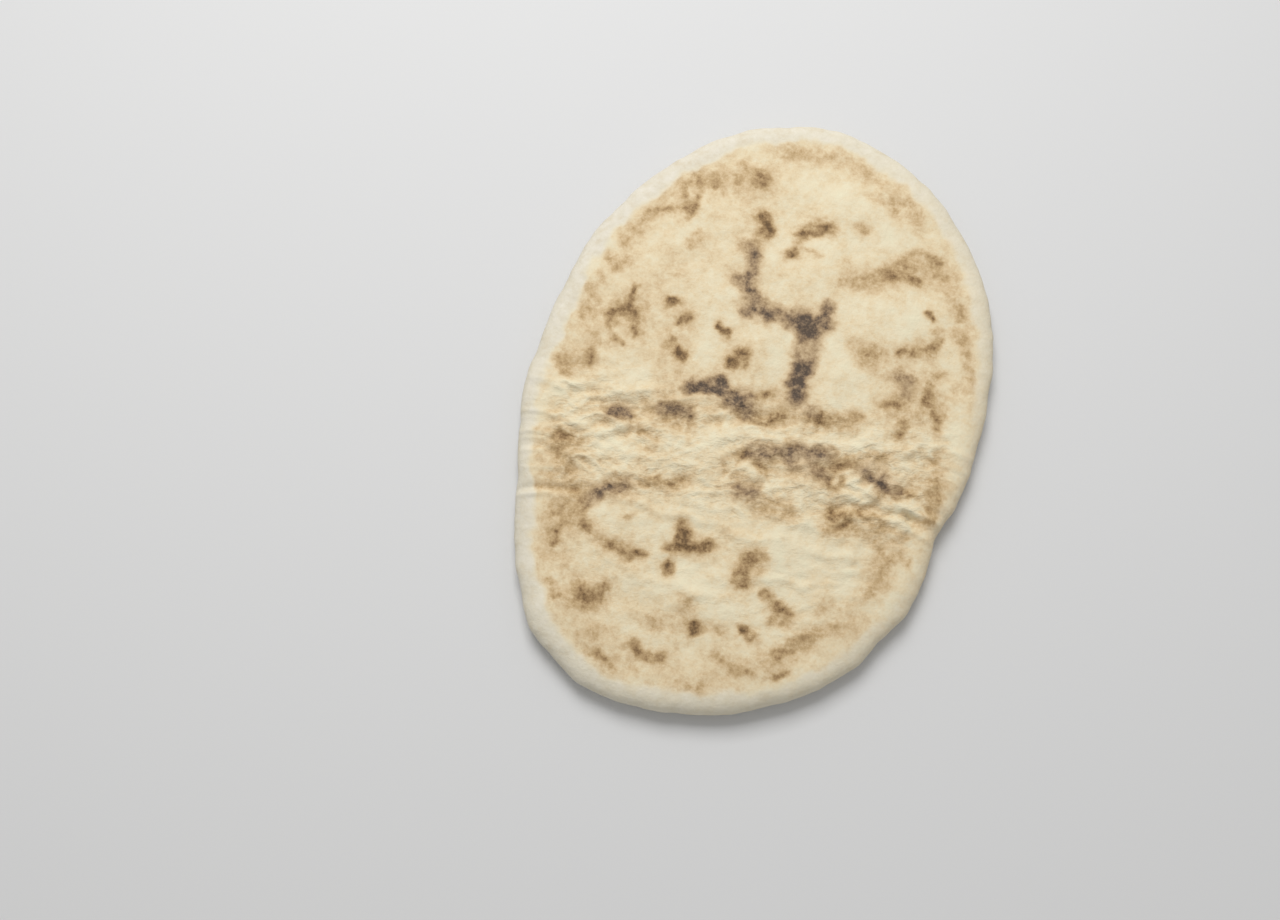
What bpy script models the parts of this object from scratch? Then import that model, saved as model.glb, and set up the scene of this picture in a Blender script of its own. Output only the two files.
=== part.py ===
"""Oval pita bread, one closed solid that lies on its flat underside with the toasted face up.

Units are metres, +Z is up and +Y runs along the bread. The origin is at the middle of the
underside. The edge is a smooth, puffed roll of dough. The face inside it is a little uneven:
low blisters where steam lifted the crust, and creases across the middle, where the bread was
folded and opened again.
"""

import math

import bmesh
import bpy
from mathutils import Vector, noise

MM = 0.001

# Driving dimensions: the plain oval that the outline wanders about, and the height of its face
LENGTH = 189.0 * MM
WIDTH = 133.5 * MM
FACE_HEIGHT = 8.8 * MM
CROWN = 0.7 * MM  # how much more the face stands up in the middle than at the edge

# Edge roll: how far the round reaches in from the outline above and below its widest line
EDGE_ROUND_TOP = 7.0 * MM
EDGE_ROUND_BOTTOM = 4.5 * MM
WIDEST_SHARE = 0.46  # height of the widest line, as a share of the edge's own height
TOP_SQUARENESS = 2.3  # exponent of the roll's upper quarter: 2 is a plain ellipse
BOTTOM_SQUARENESS = 2.2

# Outline: an ellipse with a few broad lobes (waves a turn, share of the radius, phase in degrees)
OUTLINE_LOBES = ((3, 0.0107, 50.0), (4, 0.0139, -146.0), (5, 0.0132, 142.0))
# ... with small dents, or bulges where the depth is negative (place round the outline in degrees,
# depth, half width in degrees). The first two are where the main fold leaves the bread.
OUTLINE_DENTS = (
    (-11.5, 2.2 * MM, 5.0),
    (-150.5, 0.6 * MM, 3.0),
    (-168.0, -1.0 * MM, 7.0),
    (-122.0, -0.8 * MM, 6.0),
    (-58.0, 0.7 * MM, 9.0),
    (-26.0, -0.8 * MM, 6.0),
    (53.0, 0.6 * MM, 8.0),
    (109.0, 0.8 * MM, 8.0),
    (172.0, 0.6 * MM, 7.0),
)
DENT_REACH = 9.0 * MM  # how far in from the outline a dent is felt

# Blisters on the face: centre x, y, half length, half width, turn in degrees, height (mm)
BLISTERS = (
    (28, 36, 16, 10, 17, 0.9),
    (24, 17, 9, 8, 20, 0.7),
    (4, 43, 10, 6, 20, 0.7),
    (-32, 48, 18, 12, 65, 0.8),
    (-5, 17, 8, 10, 20, 0.7),
    (6, 68, 13, 7, -5, 0.8),
    (-22, 30, 12, 9, 40, 0.6),
    (-22, -46, 12, 6, 18, 0.9),
    (20, -40, 14, 7, 17, 0.7),
    (8, -60, 12, 7, 15, 0.7),
    (-8, -20, 8, 7, 18, 0.6),
    (42, 8, 12, 6, 25, 0.6),
    (-30, -76, 12, 8, -30, 0.7),
    (24, -74, 13, 9, 30, 0.8),
)

# Creases: points along the line (mm), depth (mm, less than nothing for a ridge), half width (mm)
CREASES = (
    (((-60, -45), (-50, -46), (-41, -43), (-24, -37), (-6, -33)), 1.0, 2.4),
    (((-58, -48), (-50, -48), (-41, -46)), -0.5, 2.2),
    (((64, -21), (58, -19), (53, -18.5), (42, -20.5), (30, -23), (12, -26)), 1.0, 2.2),
    (((60, -18), (54, -15.5), (45, -17), (36, -18), (26, -21)), -0.8, 2.2),
    (((62, -23), (54, -21.5), (46, -24)), -0.5, 2.2),
    (((-8, -15), (0, -11), (10, -9), (22, -4.5), (33, -4)), -0.7, 2.6),
    (((33, -1), (45, 0), (54, 4), (62, 7)), -0.6, 2.4),
    (((-62, -16), (-54, -15.5), (-44, -13), (-33, -10), (-22, -5)), -0.6, 2.6),
    (((-62, -30), (-52, -29.5), (-42, -33), (-32, -30)), 0.8, 2.2),
    (((-60, -25), (-48, -25.5), (-36, -23), (-22, -17)), -0.5, 2.2),
    (((-34, -13), (-22, -13), (-8, -8), (6, -5)), 0.7, 2.6),
    (((2, -22), (12, -17), (26, -15), (40, -13)), 0.6, 2.4),
)

# Small unevenness of the whole face
LUMP_SIZE = 17.0 * MM
LUMP_HEIGHT = 0.35 * MM

# Mesh: cells across and along the face, and steps round the edge roll
CELLS_ACROSS = 40
CELLS_ALONG = 56
STEPS_ABOVE = 5
STEPS_BELOW = 3

CRUST_COLOUR = (0.76, 0.66, 0.44, 1.0)
CRUST_ROUGHNESS = 0.75


def clear_scene():
    for obj in list(bpy.data.objects):
        bpy.data.objects.remove(obj, do_unlink=True)


def smooth_bump(distance, reach):
    """1 at no distance, falling softly to 0 over about twice the reach."""
    return math.exp(-((distance / reach) ** 2))


def turned(x, y, degrees):
    angle = math.radians(degrees)
    return x * math.cos(angle) + y * math.sin(angle), y * math.cos(angle) - x * math.sin(angle)


def angle_gap(a, b):
    """Difference of two angles in degrees, the short way round."""
    return abs((a - b + 180.0) % 360.0 - 180.0)


def outline_point(turn, inset):
    """Point in plan at this angle (radians) round the bread, so far in from the outline."""
    swell = 1.0 + sum(
        share * math.cos(waves * turn - math.radians(phase)) for waves, share, phase in OUTLINE_LOBES
    )
    half_width, half_length = WIDTH / 2, LENGTH / 2
    point = Vector((half_width * swell * math.cos(turn), half_length * swell * math.sin(turn)))
    normal = Vector((math.cos(turn) / half_width, math.sin(turn) / half_length)).normalized()
    dent = sum(
        depth * smooth_bump(angle_gap(math.degrees(turn), place), half_angle)
        for place, depth, half_angle in OUTLINE_DENTS
    )
    return point - normal * (inset + dent * math.exp(-inset / DENT_REACH))


def distance_to_line(x, y, points):
    """Distance in plan from x, y to a line through the points, all in millimetres."""
    here = Vector((x, y))
    nearest = math.inf
    for start, end in zip(points, points[1:]):
        a, b = Vector(start), Vector(end)
        along = (here - a).dot(b - a) / (b - a).length_squared
        nearest = min(nearest, (here - a - (b - a) * max(0.0, min(1.0, along))).length)
    return nearest


def relief(x, y):
    """Blisters, creases and small lumps at a place on the face, as a height."""
    across, along = x / MM, y / MM
    height = 0.0
    for centre_x, centre_y, half_long, half_short, degrees, rise in BLISTERS:
        u, v = turned(across - centre_x, along - centre_y, degrees)
        height += rise * smooth_bump(math.hypot(u / half_long, v / half_short), 1.0)
    for points, depth, half_width in CREASES:
        height -= depth * smooth_bump(distance_to_line(across, along, points), half_width)
    lumps = noise.noise(Vector((x / LUMP_SIZE, y / LUMP_SIZE, 0.0)))
    return height * MM + lumps * LUMP_HEIGHT


def face_height(point):
    """Height of the toasted face over a point in plan."""
    middle = math.hypot(2 * point.x / WIDTH, 2 * point.y / LENGTH)
    crown = CROWN * (1.0 - min(middle, 1.0) ** 2)
    return FACE_HEIGHT + crown + relief(point.x, point.y)


def disc_place(across, along):
    """Angle and share of the radius in a disc, for a place in a square from -1 to 1."""
    u = across * math.sqrt(1.0 - along * along / 2.0)
    v = along * math.sqrt(1.0 - across * across / 2.0)
    return math.atan2(v, u), min(math.hypot(u, v), 1.0)


def edge_point(turn, step):
    """Point on the edge roll: step 1 is its top, 0 its widest line and -1 the underside."""
    top = face_height(outline_point(turn, EDGE_ROUND_TOP))
    widest = top * WIDEST_SHARE
    angle = abs(step) * math.pi / 2
    power = 2.0 / (TOP_SQUARENESS if step > 0 else BOTTOM_SQUARENESS)
    inward = 1.0 - math.cos(angle) ** power if abs(step) < 1.0 else 1.0
    rise = math.sin(angle) ** power
    if step > 0:
        plan = outline_point(turn, EDGE_ROUND_TOP * inward)
        return Vector((plan.x, plan.y, widest + (top - widest) * rise))
    plan = outline_point(turn, EDGE_ROUND_BOTTOM * inward)
    return Vector((plan.x, plan.y, widest * (1.0 - rise)))


def shape_face(bm):
    """Moves the flat grid onto the toasted face, and returns each edge vertex's angle."""
    turns = {}
    for vert in bm.verts:
        turn, share = disc_place(vert.co.x, vert.co.y)
        if vert.is_boundary:
            turns[vert] = turn
            vert.co = edge_point(turn, 1.0)
        else:
            plan = outline_point(turn, EDGE_ROUND_TOP) * share
            vert.co = Vector((plan.x, plan.y, face_height(plan)))
    return turns


def roll_edge(bm, turns):
    """Extrudes the face's border round the edge, ring by ring, to the underside."""
    above = [1.0 - (i + 1) / STEPS_ABOVE for i in range(STEPS_ABOVE)]
    below = [-(i + 1) / STEPS_BELOW for i in range(STEPS_BELOW)]
    border = [edge for edge in bm.edges if edge.is_boundary]
    for step in above + below:
        grown = bmesh.ops.extrude_edge_only(bm, edges=border)["geom"]
        next_turns = {}
        for vert in (item for item in grown if isinstance(item, bmesh.types.BMVert)):
            source = next(
                edge.other_vert(vert) for edge in vert.link_edges if edge.other_vert(vert) in turns
            )
            next_turns[vert] = turns[source]
            vert.co = edge_point(turns[source], step)
        border = [
            item for item in grown if isinstance(item, bmesh.types.BMEdge) and item.is_boundary
        ]
        turns = next_turns
    return border


def close_underside(bm, border):
    """Fills the flat underside, with its triangles meeting in the middle."""
    filled = bmesh.ops.edgeloop_fill(bm, edges=border)["faces"]
    bmesh.ops.poke(bm, faces=filled)


def centre_in_plan(bm):
    """Puts the middle of the bread's length and width over the origin."""
    for axis in (0, 1):
        places = [vert.co[axis] for vert in bm.verts]
        middle = (min(places) + max(places)) / 2
        for vert in bm.verts:
            vert.co[axis] -= middle


def bread_mesh():
    bm = bmesh.new()
    bmesh.ops.create_grid(bm, x_segments=CELLS_ACROSS, y_segments=CELLS_ALONG, size=1.0)
    turns = shape_face(bm)
    border = roll_edge(bm, turns)
    close_underside(bm, border)
    centre_in_plan(bm)
    bmesh.ops.recalc_face_normals(bm, faces=bm.faces)
    mesh = bpy.data.meshes.new("pita_bread")
    bm.to_mesh(mesh)
    bm.free()
    mesh.shade_smooth()
    return mesh


def crust_material():
    material = bpy.data.materials.new("toasted_crust")
    material.use_nodes = True
    shader = material.node_tree.nodes["Principled BSDF"]
    shader.inputs["Base Color"].default_value = CRUST_COLOUR
    shader.inputs["Roughness"].default_value = CRUST_ROUGHNESS
    shader.inputs["Metallic"].default_value = 0.0
    return material


def main():
    clear_scene()
    collection = bpy.data.collections.new("pita_bread")
    bpy.context.scene.collection.children.link(collection)
    mesh = bread_mesh()
    mesh.materials.append(crust_material())
    collection.objects.link(bpy.data.objects.new("pita_bread", mesh))


main()
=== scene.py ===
"""An oval pita bread lying on a pale floor.

Its edge is a pale, rolled border. Its face is blistered, creased by a fold across the middle and
marked by the hot plate. The bread is measured in millimetres, x across it and y along it, and
becomes metres where its vertices are placed.
"""

import math

import bpy
import numpy as np
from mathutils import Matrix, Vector


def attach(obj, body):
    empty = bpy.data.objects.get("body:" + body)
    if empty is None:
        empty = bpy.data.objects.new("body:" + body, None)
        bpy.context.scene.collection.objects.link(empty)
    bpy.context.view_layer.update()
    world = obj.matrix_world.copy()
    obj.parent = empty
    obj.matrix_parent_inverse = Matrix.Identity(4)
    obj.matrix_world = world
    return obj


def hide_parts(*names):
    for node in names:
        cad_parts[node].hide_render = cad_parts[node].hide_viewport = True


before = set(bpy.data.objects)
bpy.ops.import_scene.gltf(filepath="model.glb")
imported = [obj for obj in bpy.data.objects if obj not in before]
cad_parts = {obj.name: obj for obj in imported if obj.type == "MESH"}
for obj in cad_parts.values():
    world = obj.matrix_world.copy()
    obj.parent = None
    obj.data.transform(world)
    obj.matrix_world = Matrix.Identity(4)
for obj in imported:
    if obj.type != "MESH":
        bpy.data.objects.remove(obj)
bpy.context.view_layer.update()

MM = 0.001

# ---------------------------------------------------------------- camera, light and floor

PICTURE_WIDTH, PICTURE_HEIGHT = 1280, 920
LENS_MM, SENSOR_MM = 38.0, 36.0
VIEW_TURN = math.radians(20.5)
VIEW_RISE = math.radians(75.0)
VIEW_DISTANCE = 0.398
BREAD_MIDDLE = Vector((0.0, 0.0, 0.004))
BREAD_MIDDLE_PIXEL = (751.3, 408.0)  # where in the picture the middle of the bread stands

FLOOR_SIDE = 16.0
FLOOR_COLOUR = (0.66, 0.67, 0.685, 1.0)
FLOOR_ROUGHNESS = 0.85
ROOM_COLOUR = (1.0, 0.985, 0.96, 1.0)
ROOM_STRENGTH = 0.45
KEY_PLACE = (-0.23, 0.37, 0.68)
KEY_SIDE = 0.42
KEY_POWER = 4.9
KEY_COLOUR = (1.0, 0.985, 0.962)


def add_camera():
    turn, rise = VIEW_TURN, VIEW_RISE
    back = Vector(
        (math.sin(turn) * math.cos(rise), -math.cos(turn) * math.cos(rise), math.sin(rise))
    )
    right = Vector((math.cos(turn), math.sin(turn), 0.0))
    up = back.cross(right)
    focal_pixels = PICTURE_WIDTH * LENS_MM / SENSOR_MM
    aside = (BREAD_MIDDLE_PIXEL[0] - PICTURE_WIDTH / 2) / focal_pixels * VIEW_DISTANCE
    above = (PICTURE_HEIGHT / 2 - BREAD_MIDDLE_PIXEL[1]) / focal_pixels * VIEW_DISTANCE
    data = bpy.data.cameras.new("camera")
    data.lens = LENS_MM
    data.sensor_width = SENSOR_MM
    camera = bpy.data.objects.new("camera", data)
    camera.location = BREAD_MIDDLE + back * VIEW_DISTANCE - right * aside - up * above
    camera.rotation_mode = "QUATERNION"
    camera.rotation_quaternion = (-back).to_track_quat("-Z", "Y")
    bpy.context.scene.collection.objects.link(camera)
    bpy.context.scene.camera = camera


def add_light():
    data = bpy.data.lights.new("key_light", "AREA")
    data.shape = "SQUARE"
    data.size = KEY_SIDE
    data.energy = KEY_POWER
    data.color = KEY_COLOUR
    lamp = bpy.data.objects.new("key_light", data)
    lamp.location = KEY_PLACE
    lamp.rotation_mode = "QUATERNION"
    lamp.rotation_quaternion = (BREAD_MIDDLE - lamp.location).to_track_quat("-Z", "Y")
    bpy.context.scene.collection.objects.link(lamp)


def add_room():
    world = bpy.data.worlds.new("room")
    world.use_nodes = True
    sky = world.node_tree.nodes["Background"]
    sky.inputs["Color"].default_value = ROOM_COLOUR
    sky.inputs["Strength"].default_value = ROOM_STRENGTH
    bpy.context.scene.world = world
    bpy.context.scene.view_settings.view_transform = "Standard"


def add_floor():
    bpy.ops.mesh.primitive_plane_add(size=FLOOR_SIDE)
    floor = bpy.context.object
    floor.name = "floor"
    material = bpy.data.materials.new("pale_floor")
    material.use_nodes = True
    shader = material.node_tree.nodes["Principled BSDF"]
    shader.inputs["Base Color"].default_value = FLOOR_COLOUR
    shader.inputs["Roughness"].default_value = FLOOR_ROUGHNESS
    floor.data.materials.append(material)


# ---------------------------------------------------------------- the bread's form, in millimetres

OVAL_LENGTH, OVAL_WIDTH = 189.0, 133.5
FACE_HEIGHT = 8.8
CROWN = 0.7  # how much more the face stands up in the middle than at the edge

# The edge roll: how far it reaches in above and below its widest line, where that line lies as a
# share of the height, and the exponents of its two quarters, where 2 is a plain ellipse
EDGE_ROUND_TOP = 7.0
EDGE_ROUND_BOTTOM = 4.5
WIDEST_SHARE = 0.46
TOP_SQUARENESS = 2.3
BOTTOM_SQUARENESS = 2.2
UNDERSIDE_INSET = 5.7  # the flat underside, inside the foot of the roll

# Broad lobes of the outline: waves a turn, share of the radius, phase in degrees
OUTLINE_LOBES = ((3, 0.0107, 50.0), (4, 0.0139, -146.0), (5, 0.0132, 142.0))
# Dents (bulges where negative): place in degrees, depth, half width in degrees
OUTLINE_DENTS = (
    (-11.5, 2.2, 5.0),
    (-150.5, 0.6, 3.0),
    (-168.0, -1.0, 7.0),
    (-122.0, -0.8, 6.0),
    (-58.0, 0.7, 9.0),
    (-26.0, -0.8, 6.0),
    (53.0, 0.6, 8.0),
    (109.0, 0.8, 8.0),
    (172.0, 0.6, 7.0),
)
DENT_REACH = 9.0  # how far in from the outline a dent is felt

# Blisters: centre, half length, half width, turn in degrees, height. The wrinkles fade on them.
BLISTERS = (
    (28, 36, 16, 10, 17, 0.9),
    (24, 17, 9, 8, 20, 0.7),
    (4, 43, 10, 6, 20, 0.7),
    (-32, 48, 18, 12, 65, 0.8),
    (-5, 17, 8, 10, 20, 0.7),
    (6, 68, 13, 7, -5, 0.8),
    (-22, 30, 12, 9, 40, 0.6),
    (-22, -46, 12, 6, 18, 0.9),
    (20, -40, 14, 7, 17, 0.7),
    (8, -60, 12, 7, 15, 0.7),
    (-8, -20, 8, 7, 18, 0.6),
    (42, 8, 12, 6, 25, 0.6),
    (-30, -76, 12, 8, -30, 0.7),
    (24, -74, 13, 9, 30, 0.8),
)
WRINKLES_LOST_ON_BLISTERS = 0.6

# Creases: points along the line, depth (a ridge where negative), half width
CREASES = (
    # the fold on the left
    (((-62, -43.5), (-57, -44.8), (-54, -45.6), (-49, -45), (-44, -44), (-39, -42)), 0.95, 1.3),
    (((-60, -47.5), (-55, -47.4), (-50, -46.9), (-45, -46), (-40, -44.6)), -0.60, 1.3),
    # the fold on the right, where the face turns down over the dent in the edge
    (
        (
            (62, -27), (61, -22), (58.4, -17.2), (54, -14.8),
            (50, -15.4), (45, -16), (39, -15), (33, -17.2),
        ),
        -0.8,
        1.2,
    ),
    (((65, -20), (61, -19), (57.5, -16.8), (53, -17.4)), 0.8, 1.1),
    (((61, -26), (57, -21.2), (50, -19.8), (43, -20.4), (36, -22.6)), -0.6, 1.1),
    (((57, -18.8), (51, -17.4), (45, -18.2), (38, -18.8), (31, -23)), 0.75, 1.1),
    (((54, -12.8), (49, -13.4), (43, -13.6), (37, -13)), -0.35, 1.1),
    # the long ridge right of the middle
    (
        (
            (-6, -13.6), (0, -11.4), (5, -9.8), (10, -8.3),
            (15, -6.8), (20, -4.3), (26, -3.3), (34, -3.3),
        ),
        -0.5,
        1.5,
    ),
    (((34, -0.6), (40, -0.4), (46, 1), (51, 2.6), (56, 5), (62, 6.4)), -0.45, 1.4),
    (((2, -22), (9, -19.6), (17, -18.4), (25, -18.8)), -0.45, 1.5),
    (((20, -13.4), (25, -11.8), (31, -12), (36, -14)), -0.4, 1.0),
    (((10, -29.6), (18, -30.4), (27, -29.4), (36, -29.6)), -0.45, 1.6),
    # ridges left of the middle
    (((-62, -16), (-55, -14.8), (-49, -13.6), (-40, -10.9), (-33, -9.2), (-26, -6.6)), -0.5, 1.4),
    (((-42, -19), (-35, -20), (-27, -17.8), (-21, -16.8), (-14, -18)), -0.45, 1.3),
    (((-63, -22.8), (-57, -23.4), (-51, -24.4), (-45, -24.9), (-39, -23.7), (-32, -21.2)), -0.45, 1.3),
    (((-60, -31), (-55, -29.8), (-50, -29.2)), -0.5, 0.9),
    (((-44, -33), (-38, -31.3), (-33, -30), (-26, -26.6), (-18, -25.4), (-8, -24.6)), -0.45, 1.5),
    (((-60, -35), (-53, -33.6), (-46, -34.6), (-40, -37.4)), 0.35, 1.4),
    (((-30, -33.6), (-22, -33), (-14, -33.6), (-6, -31)), -0.35, 1.1),
    (((-34, -13), (-26, -12.6), (-16, -12.8), (-8, -9.6)), 0.35, 1.5),
    (((-12, -5.4), (-4, -4.6), (4, -6.8), (12, -4)), 0.35, 1.3),
    # lower, round the raised patches
    (((-30, -41), (-22, -39.6), (-14, -40.4), (-6, -38.6), (2, -38), (9, -39.4)), -0.45, 1.3),
    (((9, -39.4), (16, -37.4), (24, -35.4), (33, -36.6), (41, -33.6)), -0.45, 1.4),
    (((16, -49), (23, -46.6), (31, -46.4), (38, -43)), -0.4, 1.4),
    (((-27, -57), (-19, -58.2), (-12, -60.4), (-4, -58.6), (4, -59.4), (12, -57)), -0.4, 1.3),
)

# Charred marks on the face: depth of colour, half width of the mark, points along it
CHAR_MARKS = (
    # the two patches right of the middle and what joins them
    (0.97, 3.2, ((5, 29.6), (8, 28), (11, 30.5))),
    (0.86, 2.2, ((7.5, 25.5), (9.5, 26.5))),
    (0.72, 2.2, ((11, 32), (11, 36))),
    (0.56, 3.4, ((8, 24), (8, 20), (9.5, 15))),
    (0.50, 2.0, ((12, 24), (12.5, 18))),
    (1.0, 3.4, ((10.5, 14.5), (10, 11), (11, 7))),
    (0.55, 2.0, ((11, 5), (12.5, 3.5), (17, 3.5))),
    (0.74, 2.6, ((-5, 27), (-1.5, 28.5), (2, 27), (5, 28))),
    (0.80, 2.3, ((-15, 43.4), (-13.8, 38), (-13.4, 34), (-11, 31))),
    (0.80, 2.8, ((-11, 26), (-8, 28.5), (-5, 27))),
    (0.58, 2.1, ((-17.6, 34.4), (-15, 34.2))),
    (0.42, 1.8, ((-19, 45.5), (-17.5, 46.5))),
    (0.58, 2.2, ((36.5, 22), (40, 22.5), (40.5, 18))),
    # across the middle
    (0.95, 2.6, ((-18.5, -2.2), (-15, -0.5), (-11, 1.2))),
    (0.85, 2.2, ((-11, 2.6), (-9, 0), (-7, -1))),
    (0.86, 3.0, ((-5, -2), (-3, 0), (-1, -3))),
    (0.77, 2.0, ((-24.4, -11.2), (-20.6, -9.9), (-16.2, -9.8))),
    (0.86, 2.3, ((-37.4, -17.2), (-33.8, -16.2))),
    (0.80, 2.6, ((5, -14), (10, -12.5), (12, -11.5), (14.5, -11.5))),
    (0.60, 2.2, ((17, -13.6), (22, -13.4), (26, -13.6))),
    (0.88, 2.7, ((16.4, -10.2), (20.5, -8.8), (25, -7.6))),
    (0.84, 3.1, ((37.8, -8.6), (41.4, -9.8))),
    (0.70, 2.4, ((42, -10.2), (46.6, -10.6))),
    (0.86, 2.3, ((4.8, -26.8), (8.6, -25.8))),
    (0.78, 2.2, ((-26, -37), (-29, -38.5), (-31.5, -39.5), (-33.5, -43))),
)

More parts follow.
